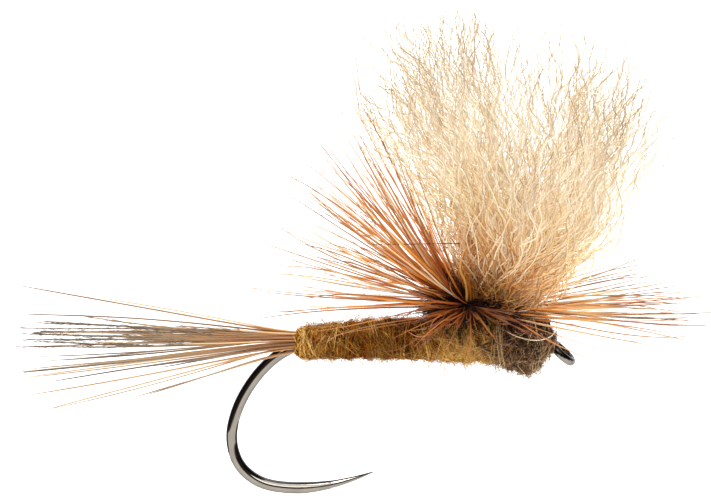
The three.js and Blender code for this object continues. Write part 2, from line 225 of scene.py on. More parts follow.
def mix_node(tree, first, second, factor, blend="MIX"):
    node = tree.nodes.new("ShaderNodeMix")
    node.data_type = "RGBA"
    node.blend_type = blend
    for socket, value in ((node.inputs[6], first), (node.inputs[7], second), (node.inputs[0], factor)):
        if isinstance(value, (int, float, tuple)):
            socket.default_value = value
        else:
            tree.links.new(value, socket)
    return node.outputs[2]


def fibre_material(name, along, tints, tint_amount, shades=None, roughness=0.45, glow=0.0, gloss=0.5):
    """Hair or feather: a colour from root to tip, blended with one that differs from fibre to fibre, and
    with a ramp of shades for the fibres that have a shade of their own. glow lets light through it."""
    material, tree, shader = new_material(name, roughness)
    base = ramp_node(tree, along, attribute_node(tree, "along"))
    own = ramp_node(tree, tints, attribute_node(tree, "tint"))
    result = mix_node(tree, base, own, tint_amount)
    if shades:
        shade = attribute_node(tree, "shade")
        result = mix_node(tree, result, ramp_node(tree, shades, shade), shade)
    tree.links.new(result, shader.inputs["Base Color"])
    shader.inputs["Specular IOR Level"].default_value = gloss
    shader.inputs["Subsurface Weight"].default_value = glow
    shader.inputs["Subsurface Radius"].default_value = (1.0, 0.7, 0.4)
    shader.inputs["Subsurface Scale"].default_value = 0.08 * MM
    return material


def steel_material():
    """Bronzed steel with painted reflections. painted_reflection runs from a grey underside with painted dark
    edges, over painted dark reflections on its shoulders, to a painted highlight on its top.
    """
    material, tree, shader = new_material("hook_steel", 0.28, 1.0)
    # painted reflection: the dark stops are painted dark reflections and shade, the last one a painted
    # highlight
    stops = [(0.0, "2e2823"), (0.12, "5a544e"), (0.25, "827c73"), (0.38, "908a80"), (0.46, "3a322c"),
             (0.55, "15100e"), (0.75, "2a231f"), (1.0, "f4eee2")]
    base = ramp_node(tree, stops, attribute_node(tree, "painted_reflection"))
    noise = tree.nodes.new("ShaderNodeTexNoise")
    noise.inputs["Scale"].default_value = 1800
    noise.inputs["Detail"].default_value = 4
    geometry = tree.nodes.new("ShaderNodeNewGeometry")
    tree.links.new(geometry.outputs["Position"], noise.inputs["Vector"])
    spots = ramp_node(tree, [(0.3, "b8b0a8"), (0.7, "ffffff")], noise.outputs["Fac"])
    tree.links.new(mix_node(tree, base, spots, 0.35, "MULTIPLY"), shader.inputs["Base Color"])
    return material


def thread_material(name, codes):
    """Waxed thread, streaked along its length."""
    material, tree, shader = new_material(name, 0.42)
    geometry = tree.nodes.new("ShaderNodeNewGeometry")
    noise = tree.nodes.new("ShaderNodeTexNoise")
    noise.inputs["Scale"].default_value = 9000
    tree.links.new(geometry.outputs["Position"], noise.inputs["Vector"])
    stops = [(0.25, codes[0]), (0.5, codes[1]), (0.75, codes[2])]
    tree.links.new(ramp_node(tree, stops, noise.outputs["Fac"]), shader.inputs["Base Color"])
    return material


STEEL = steel_material()
OLIVE_THREAD = thread_material("olive_thread", ("3d3410", "7a6a1c", "b5a23c"))
BLACK_THREAD = thread_material("black_thread", ("0c0909", "1d1615", "3a2c26"))
TAIL_BARB = fibre_material(
    "tail_barb",
    [(0.0, "a05c20"), (0.2, "b07034"), (0.45, "c8a074"), (0.62, "ac9878"), (0.78, "7c7464"), (1.0, "343838")],
    [(0.0, "2c140a"), (0.25, "743c14"), (0.5, "cc8c44"), (0.8, "f8cc90"), (1.0, "40281a")],
    0.5,
    roughness=0.35,
    glow=0.2,
    gloss=0.5,
)
TAIL_WEB = fibre_material(
    "tail_web",
    [(0.0, "8a7660"), (1.0, "5c5a54")],
    [(0.0, "4a443c"), (0.6, "7c7060"), (1.0, "a89880")],
    0.5,
    roughness=0.6,
)
BARB_TINTS = [(0.0, "2c0e04"), (0.26, "803806"), (0.5, "cc7418"), (0.72, "f0a848"), (0.88, "fff0cc"),
              (1.0, "341a10")]
BARB_SHADES = [(0.0, "943a06"), (0.45, "842404"), (0.7, "4c1406"), (1.0, "120806")]
HACKLE_BARB = fibre_material(
    "hackle_barb",
    [(0.0, "240c08"), (0.1, "64220c"), (0.22, "a44c14"), (0.42, "cc7c30"), (0.66, "dca05c"), (0.82, "b08c64"),
     (1.0, "5a4838")],
    BARB_TINTS,
    0.6,
    BARB_SHADES,
    roughness=0.32,
    glow=0.2,
    gloss=0.25,
)
HACKLE_BARB_DARK_TIP = fibre_material(
    "hackle_barb_dark_tip",
    [(0.0, "240c08"), (0.12, "6a2a0e"), (0.3, "b47838"), (0.48, "d4b078"), (0.6, "8c7a5c"), (0.72, "403a32"),
     (1.0, "1c1c1e")],
    BARB_TINTS,
    0.5,
    BARB_SHADES,
    roughness=0.32,
    glow=0.2,
    gloss=0.25,
)
HACKLE_WEB = fibre_material(
    "hackle_web",
    [(0.0, "0a0708"), (0.7, "171012"), (1.0, "3a2420")],
    [(0.0, "080607"), (0.55, "2a1512"), (1.0, "6a3020")],
    0.5,
    roughness=0.7,
    gloss=0.15,
)
WING_HAIR = fibre_material(
    "wing_hair",
    # the dark brown near the root is partly the hair's colour and partly painted shade at the foot of the
    # wing
    [(0.0, "5c2e0e"), (0.07, "7c3e08"), (0.15, "a06018"), (0.25, "c0863c"), (0.4, "e0c698"), (0.6, "ecdec8"),
     (0.78, "dcd0bc"), (0.9, "a89c88"), (1.0, "5c554a")],
    [(0.0, "6c4424"), (0.14, "ac8050"), (0.36, "dcba94"), (0.66, "fffaf2"), (0.86, "e4d4bc"),
     (1.0, "5c5244")],
    0.42,
    roughness=0.6,
    glow=0.8,
    gloss=0.1,
)
ROOT_CURL = fibre_material(
    "wing_root_curl",
    [(0.0, "6a3812"), (0.4, "a86c30"), (1.0, "d0a066")],
    # the dark end of these tints goes to the curls that are painted shade in the gaps between the hairs
    [(0.0, "3c180a"), (0.2, "743c12"), (0.45, "a05c14"), (0.75, "c08030"), (1.0, "dca85c")],
    0.75,
    roughness=0.6,
    glow=0.5,
    gloss=0.1,
)
BODY_FUR = fibre_material(
    "body_fur",
    [(0.0, "5c2a04"), (0.6, "7c3c06"), (1.0, "a05c10")],
    [(0.0, "160602"), (0.2, "3c1402"), (0.5, "883c06"), (0.72, "b46c0c"), (0.88, "d09430"), (1.0, "f8cc78")],
    0.88,
    roughness=0.6,
    glow=0.1,
    gloss=0.05,
)
THORAX_FUR = fibre_material(
    "thorax_fur",
    [(0.0, "8a5018"), (0.6, "ac7424"), (1.0, "c89444")],
    [(0.0, "441e0e"), (0.22, "9c5820"), (0.5, "c88c30"), (0.78, "e4c05c"), (1.0, "f0b478")],
    0.85,
    # painted shade under the hackle
    [(0.0, "1a1110"), (0.5, "2c1b1a"), (1.0, "150d0f")],
    roughness=0.6,
    glow=0.2,
    gloss=0.15,
)
HEAD_FUR = fibre_material(
    "head_fur",
    [(0.0, "40241a"), (0.6, "5e3c28"), (1.0, "907050")],
    [(0.0, "140c0a"), (0.2, "44281a"), (0.45, "7c4e2c"), (0.75, "b48450"), (1.0, "e4c498")],
    0.85,
    [(0.0, "1c1214"), (0.5, "42282a"), (0.8, "2c1a1c"), (1.0, "1c1216")],
    roughness=0.6,
    glow=0.2,
    gloss=0.15,
)
FUZZ = fibre_material(
    "fuzz",
    [(0.0, "7c4410"), (1.0, "b47c30")],
    [(0.0, "4c2808"), (0.5, "945818"), (1.0, "dca850")],
    0.6,
    roughness=0.6,
    glow=0.2,
    gloss=0.1,
)


# ---- hook ----
# The middle of the wire round the bend and out to the point, as (x, z).
BEND = [
    (-10.6, 0.39),
    (-11.15, 0.35),
    (-12.1, -0.17),
    (-13.0, -1.11),
    (-13.74, -2.44),
    (-14.01, -3.8),
    (-13.67, -4.99),
    (-12.77, -5.75),
    (-11.4, -6.0),
    (-10.0, -5.89),
    (-8.9, -5.62),
    (-7.88, -5.25),
]
WIRE_RADIUS = 0.24
EYE_WIRE_RADIUS = 0.18
EYE_RING_RADIUS = 0.54  # to the middle of the wire
EYE_DROP = math.radians(42)  # the eye turns down by this much
EYE_START, EYE_END = math.radians(205), math.radians(538)  # the wire's way round the eye
EYE_LENGTH = EYE_RING_RADIUS * (EYE_END - EYE_START)
EYE_SWELL = 1.4  # over this length the wire thickens from the eye to the shank
SHANK_FRONT = -0.75
FORGING_START = -10.9  # the wire gets flatter from here
FORGING_LENGTH = 1.2
FORGED_BELOW = -1.0  # all of the wire below this is flat
FORGED_HALF = 0.19
FLATNESS = 1.6  # how square the flat wire's edges are
POINT_LENGTH = 3.2
TIP_RADIUS = 0.012
WIRE_SIDES = 28
WIRE_STEP = 0.06


def catmull_rom(points, per_span):
    """A centripetal spline through given points."""
    points = [np.array(p, float) for p in points]
    points = [2 * points[0] - points[1], *points, 2 * points[-1] - points[-2]]
    line = []
    for p0, p1, p2, p3 in zip(points, points[1:], points[2:], points[3:]):
        knots = [0.0]
        for a, b in ((p0, p1), (p1, p2), (p2, p3)):
            knots.append(knots[-1] + np.linalg.norm(b - a) ** 0.5)
        k0, k1, k2, k3 = knots
        for t in np.linspace(k1, k2, per_span, endpoint=False):
            a1 = (k1 - t) / (k1 - k0) * p0 + (t - k0) / (k1 - k0) * p1
            a2 = (k2 - t) / (k2 - k1) * p1 + (t - k1) / (k2 - k1) * p2
            a3 = (k3 - t) / (k3 - k2) * p2 + (t - k2) / (k3 - k2) * p3
            b1 = (k2 - t) / (k2 - k0) * a1 + (t - k0) / (k2 - k0) * a2
            b2 = (k3 - t) / (k3 - k1) * a2 + (t - k1) / (k3 - k1) * a3
            line.append((k2 - t) / (k2 - k1) * b1 + (t - k1) / (k2 - k1) * b2)
    return np.array([*line, points[-2]])


def smoothstep(start, end, value):
    t = np.clip((value - start) / (end - start), 0, 1)
    return t * t * (3 - 2 * t)


def hook_centreline():
    """One wire: round the eye, back along the shank, round the bend and out to the point."""
    turn = np.linspace(EYE_START, EYE_END, 70)
    ring_x = EYE_RING_RADIUS * np.cos(turn)
    ring_y = EYE_RING_RADIUS * np.sin(turn)
    eye = np.stack([ring_x * math.cos(EYE_DROP), ring_y, -ring_x * math.sin(EYE_DROP)], -1)
    shank_x = np.linspace(SHANK_FRONT, BEND[0][0], 60)
    shank = np.stack([shank_x, np.zeros(60), np.full(60, SHANK_Z)], -1)
    bend = catmull_rom(BEND, 16)
    bend = np.stack([bend[:, 0], np.zeros(len(bend)), bend[:, 1]], -1)
    return np.concatenate([eye, shank, bend[1:]])


def evenly_spaced(line, step):
    lengths = np.concatenate([[0], np.cumsum(np.linalg.norm(np.diff(line, axis=0), axis=1))])
    count = int(lengths[-1] / step)
    places = np.linspace(0, lengths[-1], count)
    return np.stack([np.interp(places, lengths, line[:, i]) for i in range(3)], -1), places


def soften(line, rounds):
    """Rounds off small corners without moving the ends."""
    for _ in range(rounds):
        line = np.concatenate([line[:1], (line[:-2] + 2 * line[1:-1] + line[2:]) / 4, line[-1:]])
    return line


def wire_radius(places, length):
    """Thin round the eye, full along the shank and the bend, and drawn out to the point."""
    swell = np.clip((places - EYE_LENGTH) / EYE_SWELL, 0, 1)
    radius = EYE_WIRE_RADIUS + (WIRE_RADIUS - EYE_WIRE_RADIUS) * swell
    from_tip = np.clip((length - places) / POINT_LENGTH, 0, 1)
    radius = np.maximum(radius * from_tip**0.75, TIP_RADIUS)
    radius[0] *= 0.6
    return radius[:, None]


def forged_sides(line, radius, angle):
    """How far the wire's surface stands out sideways, flattened where the wire is forged."""
    forged = np.clip((FORGING_START - line[:, 0]) / FORGING_LENGTH, 0, 1) + (line[:, 2] < FORGED_BELOW)
    flat = (WIRE_RADIUS + (FORGED_HALF - WIRE_RADIUS) * np.clip(forged, 0, 1))[:, None]
    side = radius * np.sin(angle)
    pressed = flat * np.tanh(side / flat * FLATNESS) / math.tanh(FLATNESS)
    return np.where(radius < flat * 0.9, side, pressed)


def painted_steel_reflection(facing, tangent, places, length):
    """Where each point of the wire is in the painted reflections: grey below with painted dark edges, painted
    dark reflections on the shoulders and a painted highlight on top.
    """
    side, up = np.abs(facing[..., 1]), facing[..., 2]
    fore = np.abs(facing[..., 0])
    # painted dark reflection on the wire's upward-facing shoulders
    painted_dark_band = smoothstep(0.02, 0.09, up)
    # painted highlight on the top, faded towards the point and round the eye
    painted_highlight = smoothstep(0.28, 0.36, up) * smoothstep(0.9, 0.8, up) * smoothstep(0.45, 0.2, fore)
    painted_highlight = painted_highlight * (0.35 + 0.65 * smoothstep(0.2, 2.2, length - places))[:, None]
    painted_highlight = painted_highlight * (0.5 + 0.5 * smoothstep(EYE_LENGTH - 0.3, EYE_LENGTH, places))[:, None]
    # painted dark reflection where the wire runs upright
    upright = smoothstep(0.93, 0.99, np.abs(tangent[:, 2]))[:, None]
    painted_dark_band = np.maximum(painted_dark_band, upright * smoothstep(0.5, 0.75, fore))
    # painted shade: the underside darkens towards its edges
    under, painted_dark, bright = 0.38 * side**1.5, 0.55, 1.0
    return under + (painted_dark - under) * painted_dark_band + (bright - painted_dark) * painted_dark_band * painted_highlight


def build_hook():
    line, places = evenly_spaced(hook_centreline(), WIRE_STEP)
    line = soften(line, 12)
    length = places[-1]
    tangent = unit(np.gradient(line, axis=0))
    outward = unit(np.cross([0.0, 1.0, 0.0], tangent))
    across = np.cross(outward, tangent)
    angle = np.arange(WIRE_SIDES) * 2 * math.pi / WIRE_SIDES
    radius = wire_radius(places, length)
    side = forged_sides(line, radius, angle)
    rise = radius * np.cos(angle)
    vertices = line[:, None] + side[..., None] * across[:, None] + rise[..., None] * outward[:, None]
    facing = np.cos(angle)[:, None] * outward[:, None] + np.sin(angle)[:, None] * across[:, None]
    # painted reflections and highlight, from the direction each point of the wire faces
    painted_reflection = painted_steel_reflection(facing, tangent, places, length)
    flipped = [faces[:, ::-1] for faces in tube_faces(1, len(line), WIRE_SIDES)]
    attributes = [("painted_reflection", painted_reflection.ravel())]
    new_piece("hook_wire", vertices.reshape(-1, 3), flipped, STEEL, ["hook"], attributes)


# ---- thread ----
THREAD_RADIUS = 0.032


def coil(centre, low, high, radius, turns, axis, squash=1.0):
    """The path of something wound round a line along X or Z, closely, from low to high."""
    stations = int(turns * 22)
    t = np.linspace(0, 1, stations)
    angle = t * turns * 2 * math.pi
    offset = np.stack([radius * np.cos(angle), radius * squash * np.sin(angle)], -1)
    place = low + (high - low) * t + 0.006 * np.sin(angle * 0.37)
    if axis == "x":
        return np.stack([place, centre[0] + offset[:, 0], centre[1] + offset[:, 1]], -1)[None]
    return np.stack([centre[0] + offset[:, 0], centre[1] + offset[:, 1], place], -1)[None]


def wind_thread(name, path, sides, material, replaced):
    radii = tapered(1, path.shape[1], [(0, THREAD_RADIUS), (1, THREAD_RADIUS)])
    tubes(name, path, radii, sides, material, replaced)


def build_thread():
    shank = (0.0, SHANK_Z)
    path = coil(shank, thread_low[0], thread_high[0], WIRE_RADIUS + THREAD_RADIUS, 110, "x")
    wind_thread("thread_base_coil", path, 5, OLIVE_THREAD, ["thread_base"])

    low, high = tail_low, tail_high
    centre = ((low[1] + high[1]) / 2, (low[2] + high[2]) / 2)
    half = (high[1] - low[1]) / 2 - THREAD_RADIUS
    tall = (high[2] - low[2]) / (high[1] - low[1])
    path = coil(centre, low[0] - 0.02, high[0] + 0.02, half, 6, "x", tall)
    wind_thread("tail_tie_in_thread", path, 8, OLIVE_THREAD, ["tail_tie_in_wraps"])

    path = coil((POST_X, 0.0), post_low[2], post_high[2], POST_RADIUS + 0.045, 5, "z")
    wind_thread("wing_post_thread", path, 8, BLACK_THREAD, ["wing_post_wraps"])

    low, high = node_box("head_thread_wraps")
    path = coil(shank, -0.78, high[0], 0.34, 9, "x")
    wind_thread("head_thread_1", path, 8, OLIVE_THREAD, ["head_thread_wraps"])
    path = coil(shank, high[0] - 0.03, low[0], 0.385, 6, "x")
    wind_thread("head_thread_2", path, 8, OLIVE_THREAD, [])


# ---- tail ----
RING_GAP = 0.2  # the rings of a CAD barb are further apart than this
TAIL_STATIONS = 48
TAIL_BARB_RADII = [(0, 0.04), (0.4, 0.038), (0.8, 0.032), (0.95, 0.024), (1, 0.014)]


def node_centreline(node):
    """The middle of each ring of a swept CAD node that runs along X, from front to rear."""
    points = node_points(node)
    points = points[np.argsort(-points[:, 0])]
    breaks = np.where(-np.diff(points[:, 0]) > RING_GAP)[0] + 1
    return np.array([group.mean(0) for group in np.split(points, breaks)])


def barbules(barbs, between, per_barb, length, angle):
    """Fine short branches along part of each barb, on all sides, leaning towards its tip."""
    tangent, normal, binormal = frames_along(barbs)
    count, stations, _ = barbs.shape
    place = rng.uniform(*between, (count, per_barb)) * (stations - 1)
    index = np.clip(place.astype(int), 0, stations - 2)
    part = (place - index)[..., None]
    rows = np.arange(count)[:, None]
    root = barbs[rows, index] * (1 - part) + barbs[rows, index + 1] * part
    ahead = tangent[rows, index]
    turn = rng.uniform(0, 2 * math.pi, (count, per_barb, 1))
    side = np.cos(turn) * normal[rows, index] + np.sin(turn) * binormal[rows, index]
    lean = rng.normal(angle, 0.15, (count, per_barb, 1))
    reach = length * rng.uniform(0.5, 1.1, (count, per_barb, 1))
    direction = np.cos(lean) * ahead + np.sin(lean) * side
    middle = root + direction * reach * 0.5
    tip = root + (direction + 0.35 * ahead) * reach * 0.85
    return bezier(np.stack([root, middle, tip], 2).reshape(-1, 3, 3), 4)


def barbule_radii(branches, radius):
    return tapered(len(branches), branches.shape[1], [(0, radius), (1, radius * 0.35)], 0.2)


def build_tail():
    """Each tail barb as one or two strands, and fine branches on the outer half of the middle ones."""
    nodes = sorted(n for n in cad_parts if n.startswith("tail_barb_"))
    t = np.linspace(0, 1, TAIL_STATIONS)
    feathery = []
    for number, node in enumerate(nodes, 1):
        line = node_centreline(node)
        main = smooth_line(line, TAIL_STATIONS, 0.08)
        spread = np.clip((tail_low[0] - main[:, 0]) / 11, 0, 1)[:, None]
        strands = [main]
        if number % 3:
            shift = np.array([0, rng.normal(0, 0.3), rng.normal(0, 0.25)])
            second = main + spread * shift + [0, 0.03, 0.02]
            keep = np.linspace(0, rng.uniform(0.75, 0.98), TAIL_STATIONS)
            strands.append(np.stack([np.interp(keep, t, second[:, i]) for i in range(3)], -1))
        paths = np.stack(strands)
        sway = rng.normal(0, 0.12, (len(strands), 1, 3)) * [0, 1, 1]
        paths = paths + sway * np.sin(t[:, None] * rng.uniform(3, 6)) * spread[None]
        radii = tapered(len(paths), TAIL_STATIONS, TAIL_BARB_RADII, 0.2)
        tubes(f"tail_fibre_{number:02d}", paths, radii, 5, TAIL_BARB, [node])
        if SHANK_Z < line[-1, 2] < SHANK_Z + 1.0:
            feathery.extend(paths)
    outer = np.stack(feathery)[:, 26:]
    branches = barbules(outer, (0.05, 0.98), 70, length=0.6, angle=0.12)
    radii = barbule_radii(branches, 0.013)
    tubes("tail_fibre_barbules", branches, radii, 3, TAIL_WEB)


# ---- hackle ----
# How the barbs are shared out round the post: from and to in degrees (0 is towards the eye, 180 the tail),
# how many, how far they lift in degrees, how long they are, as a share of the longest, how far their roots
# are drawn together and how dark they are.
Fan = namedtuple("Fan", "start end count lifts lengths gathered shades")
BARB_FANS = (
    Fan(122, 238, 150, (-1, 63), (0.78, 1.03), 0.0, (0.0, 0.1)),
    Fan(218, 256, 18, (-9, 4), (0.3, 0.66), 0.9, (0.3, 0.8)),
    Fan(238, 262, 10, (3, 24), (0.45, 0.9), 0.6, (0.3, 0.8)),
    Fan(256, 322, 30, (-8, 10), (0.22, 0.62), 0.85, (0.3, 0.85)),
    Fan(328, 398, 60, (-5, 8), (0.75, 1.03), 0.1, (0.0, 0.2)),
    Fan(40, 122, 28, (0, 22), (0.7, 1.0), 0.0, (0.0, 0.3)),
)
GATHERING = np.array((POST_X - 0.5, -0.72, COLLAR_LOW + 0.3))  # where the drawn roots come together
BARB_STATIONS = 24
BARB_RADII = [(0, 0.022), (0.12, 0.03), (0.4, 0.03), (0.7, 0.022), (0.88, 0.014), (1, 0.007)]
HANGING_TINT = 0.66  # the barbs that hang in front of the body are among the darker ones
UP = np.array([0, 0, 1])


def around_post(angle):
    """Directions out from the post."""
    return np.stack([np.cos(angle), np.sin(angle), np.zeros(len(angle))], -1)


def lifted(out, lift):
    return out * np.cos(lift)[:, None] + UP * np.sin(lift)[:, None]


def barb_paths(fan):
    count = fan.count
    share = (np.arange(count) + rng.uniform(0, 1, count)) / count
    around = np.radians(fan.start + (fan.end - fan.start) * share)
    lift = np.radians(rng.permutation(np.linspace(*fan.lifts, count)) + rng.normal(0, 1.5, count))
    height = rng.uniform(COLLAR_LOW, COLLAR_HIGH, count) - 0.2 * (1 + np.cos(around))
    out = around_post(around)
    root = np.array([POST_X, 0, 0]) + out * (POST_RADIUS + rng.uniform(0.05, 0.35, (count, 1)))
    root = root + height[:, None] * UP
    root = root + fan.gathered * (GATHERING - root)
    heading = lifted(out, lift)
    length = HACKLE_REACH * rng.uniform(*fan.lengths, count)[:, None]
    bow = rng.normal(0, 0.35, (count, 1)) * UP + rng.normal(0, 0.2, (count, 3))
    first = unit(heading + out * 0.25 + rng.normal(0, 0.07, (count, 3)))
    tip = root + heading * length
    controls = [root, root + first * length * 0.3, root + heading * length * 0.7 + bow, tip]
    return bezier(np.stack(controls, 1), BARB_STATIONS)


def build_hackle():
    paths = np.concatenate([barb_paths(fan) for fan in BARB_FANS])
    shade = np.concatenate([rng.uniform(*fan.shades, fan.count) for fan in BARB_FANS])
    count = len(paths)
    hanging = np.repeat([fan.gathered > 0.5 for fan in BARB_FANS], [fan.count for fan in BARB_FANS])
    tint = rng.random(count) * np.where(hanging, HANGING_TINT, 1.0)
    radii = tapered(count, BARB_STATIONS, BARB_RADII, 0.5)
    rear = paths[:, -1, 0] < POST_X
    tubes("hackle_barbs_rear", paths[rear], radii[rear], 5, HACKLE_BARB, ["hackle_feather"],
        tint=tint[rear], shade=shade[rear])
    tubes("hackle_barbs_front", paths[~rear], radii[~rear], 5, HACKLE_BARB_DARK_TIP,
        tint=tint[~rear], shade=shade[~rear])

    stem = coil((POST_X, 0.0), COLLAR_LOW, COLLAR_HIGH, POST_RADIUS + 0.09, 4, "z")
    radii = tapered(1, stem.shape[1], [(0, 0.06), (1, 0.05)])
    tubes("hackle_stem", stem, radii, 8, HACKLE_WEB)

    web = barbules(paths[:, :8], (0.02, 0.5), 33, length=0.5, angle=0.6)
    tubes("hackle_web", web, barbule_radii(web, 0.014), 3, HACKLE_WEB)
    build_hackle_down()


def build_hackle_down():
    """The black down at the barbs' roots, thickest on the right and to the rear."""
    count = 1300
    everywhere = rng.random(count) < 0.5
    around = np.where(everywhere, rng.uniform(0, 2 * math.pi, count), rng.normal(3.5, 0.55, count))
    lift = np.radians(rng.uniform(-28, 12, count) + 10 * np.clip(-np.cos(around), 0, 1))
    out = around_post(around)
    heading = lifted(out, lift)
    root = np.array([POST_X, 0, 0]) + out * POST_RADIUS
    root = root + rng.uniform(COLLAR_LOW - 0.1, COLLAR_HIGH, (count, 1)) * UP
    gathered = (around > 3.0) & (around < 4.9)
    root = root + 0.85 * gathered[:, None] * (GATHERING - root)
    reach = rng.uniform(0.5, 2.3, (count, 1)) * (1 - 0.45 * np.clip(np.cos(around), 0, 1))[:, None]
    curl = rng.normal(0, 0.18, (count, 3))
    down = bezier(np.stack([root, root + heading * reach * 0.5 + curl, root + heading * reach], 1), 7)
    radii = tapered(count, 7, [(0, 0.035), (0.5, 0.022), (1, 0.006)], 0.4)
    tubes("hackle_down", down, radii, 4, HACKLE_WEB)


# ---- wing ----
# Where each tuft stands in the fan (0 its rear edge, 1 its front edge), and its side (1 is +Y).
WING_TUFTS = {
    "wing_tuft_rear_left": ((0.0, 0.3), 1),
    "wing_tuft_mid_rear_left": ((0.22, 0.55), 1),
    "wing_tuft_mid_front_left": ((0.5, 0.82), 1),
    "wing_tuft_front_left": ((0.75, 1.0), 1),
    "wing_tuft_front_right": ((0.78, 1.03), -1),
    "wing_tuft_mid_front_right": ((0.5, 0.8), -1),
    "wing_tuft_mid_rear_right": ((0.2, 0.52), -1),
    "wing_tuft_rear_right": ((-0.03, 0.28), -1),
}
LOCKS_PER_TUFT = 5
HAIRS_PER_LOCK = 19
STRAYS_PER_TUFT = 12
ROOT_CURLS = 620
# Across the fan: the hairs' lean from upright in degrees, where they leave the post and at their tips, over
# how many mm one turns into the other, and the length of the longest. There is a notch just past the middle.
FAN = (0.0, 0.2, 0.4, 0.6, 0.8, 1.0)
ROOT_LEAN = (10, 30, 47, 64, 80, 94)
TIP_LEAN = (-36, -23, -9, 5, 17, 1)
CURVE = (2.0, 2.0, 2.0, 2.2, 3.0, 5.2)
REACH_AT = (0.0, 0.18, 0.28, 0.42, 0.47, 0.52, 0.56, 0.61, 0.67, 0.8, 1.0)
REACH = (12.8, 13.3, 15.0, 15.2, 14.0, 8.0, 8.0, 12.8, 13.9, 13.8, 13.0)
MOST_LEAN = 96  # in degrees
CROWN = 15.05  # on the fly's middle plane no hair stands above this
CROWN_DEPTH = 1.3  # hairs that come this near to it are made shorter
CROWN_FALL = 0.27  # the crown gets lower to the left by this much per mm
HAIR_STATIONS = 84
CURL_STATIONS = 40
HAIR_RADII = [(0, 0.03), (0.6, 0.026), (0.85, 0.021), (1, 0.012)]
CURL_RADII = [(0, 0.032), (0.6, 0.026), (1, 0.01)]


def slow_waves(count, place, length):
    """A smooth random wander, about one unit high, over place in mm, its longest wave about this length."""
    waves = 0
    for scale in (1.0, 0.57, 0.36):
        period = length * scale * rng.uniform(0.75, 1.3, (count, 1))
        waves = waves + scale * np.sin(2 * math.pi * place / period + rng.uniform(0, 6.3, (count, 1)))
    return waves


def wing_hairs(fan, side_lean, length, wander, crinkle, stations):
    """Hairs by how far forward in the fan they stand, their lean out of it in degrees, and their length."""
    count = len(fan)
    place = np.linspace(0, 1, stations)[None] * length[:, None]
    first, last, curve = (np.interp(fan, FAN, row)[:, None] for row in (ROOT_LEAN, TIP_LEAN, CURVE))
    lean = last + (first - last) * np.exp(-place / curve)
    lean = np.radians(lean + wander * slow_waves(count, place, 6.0))
    lean = np.minimum(lean + np.radians(rng.normal(0, 6, (count, 1))), math.radians(MOST_LEAN))
    tilt = np.radians(side_lean[:, None] + 0.7 * wander * slow_waves(count, place, 6.0))
    step = np.diff(place, axis=1, prepend=0)
    x = np.cumsum(np.sin(lean) * np.cos(tilt) * step, 1)
    y = np.cumsum(np.sin(tilt) * step, 1)
    z = np.cumsum(np.cos(lean) * np.cos(tilt) * step, 1)
    turn = rng.uniform(0, 2 * math.pi, count)
    out = POST_RADIUS * 0.7 * np.sqrt(rng.random(count))
    foot = np.stack([POST_X + out * np.cos(turn), out * np.sin(turn), COLLAR_HIGH - 0.2 - 0.25 * fan], -1)
    return crinkled(foot[:, None] + np.stack([x, y, z], -1), crinkle)


def crinkled(paths, amount):
    """Adds the fine uneven wave of the hair, which starts a little above its root."""
    _, normal, binormal = frames_along(paths)
    count, stations, _ = paths.shape
    length = np.linalg.norm(np.diff(paths, axis=1), axis=-1).sum(1)[:, None]
    place = np.linspace(0, 1, stations)[None] * length
    strength = amount * rng.uniform(0.15, 1.3, (count, 1)) * np.clip(place / 1.0, 0, 1)
    result = paths.copy()
    for direction in (normal, binormal):
        own = rng.uniform(0.7, 1.6, (count, 1))
        drift = 0.9 * np.sin(place * rng.uniform(0.5, 1.4, (count, 1)) + rng.uniform(0, 6.3, (count, 1)))
        wave = np.sin(2 * math.pi * place / own + drift * 2 + rng.uniform(0, 6.3, (count, 1)))
        wave *= 1 + 0.5 * np.sin(place * 1.7 + rng.uniform(0, 6.3, (count, 1)))
        broad = rng.uniform(1.8, 4.0, (count, 1))
        height = rng.uniform(0.5, 3.0, (count, 1))
        wave += height * np.sin(2 * math.pi * place / broad + rng.uniform(0, 6.3, (count, 1)))
        result += (wave * strength)[..., None] * direction
    return result


def under_crown(paths):
    """The hairs that stand too tall made shorter, with their shape kept."""
    above = paths[..., 2] + CROWN_FALL * paths[..., 1]
    foot, height = above[:, 0], above.max(axis=1)
    rounded = CROWN - CROWN_DEPTH * np.exp((CROWN - CROWN_DEPTH - height) / CROWN_DEPTH)
    allowed = np.where(height > CROWN - CROWN_DEPTH, rounded, height)
    share = (allowed - foot) / (height - foot)
    return paths[:, :1] + (paths - paths[:, :1]) * share[:, None, None]


def build_wing():
    """Each tuft as locks of hairs that share a direction, and straighter, darker strays between them."""
    for node, (span, side) in WING_TUFTS.items():
        locks = np.linspace(*span, LOCKS_PER_TUFT) + rng.normal(0, 0.02, LOCKS_PER_TUFT)
        lock_reach = rng.uniform(0.84, 1.03, LOCKS_PER_TUFT)
        lock_lean = side * rng.uniform(1, 17, LOCKS_PER_TUFT)
        member = np.repeat(np.arange(LOCKS_PER_TUFT), HAIRS_PER_LOCK)
        count = len(member)
        fan = locks[member] + rng.normal(0, 0.018, count)
        tilt = lock_lean[member] + rng.normal(0, 3, count)
        share = np.where(rng.random(count) < 0.78, rng.beta(12, 1, count), rng.uniform(0.35, 0.9, count))
        length = np.interp(fan, REACH_AT, REACH) * lock_reach[member] * share + 0.6
        hairs = wing_hairs(fan, tilt, length, 23, 0.045, HAIR_STATIONS)

        count = STRAYS_PER_TUFT
        fan = rng.uniform(*span, count)
        length = np.interp(fan, REACH_AT, REACH) * rng.uniform(0.9, 1.08, count) + 0.4
        strays = wing_hairs(fan, side * rng.uniform(0, 20, count), length, 24, 0.02, HAIR_STATIONS)

        paths = under_crown(np.concatenate([hairs, strays]))
        radii = tapered(len(paths), HAIR_STATIONS, HAIR_RADII, 0.3)
        tint = np.concatenate([rng.random(len(hairs)), np.ones(count)])
        piece = tubes(node.replace("tuft", "hairs"), paths, radii, 3, WING_HAIR, [node], tint)
        piece.visible_shadow = False
    build_root_curls()


